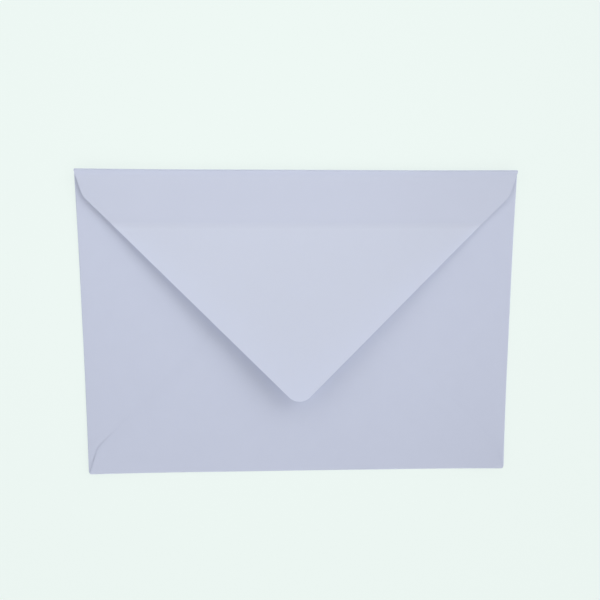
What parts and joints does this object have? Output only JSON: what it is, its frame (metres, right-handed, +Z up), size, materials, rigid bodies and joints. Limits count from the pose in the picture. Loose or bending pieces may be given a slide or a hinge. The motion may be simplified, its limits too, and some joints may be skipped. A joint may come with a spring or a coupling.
{
  "type": "paper envelope",
  "caption": "Flat paper envelope with diagonal seams and a pointed closing flap, folded over but unsealed, lying flap side up.",
  "frame": {"origin": "middle of the address face that the envelope rests on, at the bottom of the bounding box", "axes": "+X along the width, +Y towards the fold of the closing flap, +Z up from the address face to the flaps"},
  "size_m": [0.162, 0.114, 0.0048],
  "materials": {
    "paper": "matte"
  },
  "bodies": {
    "root": {"envelope": "paper"}
  },
  "joints": []
}
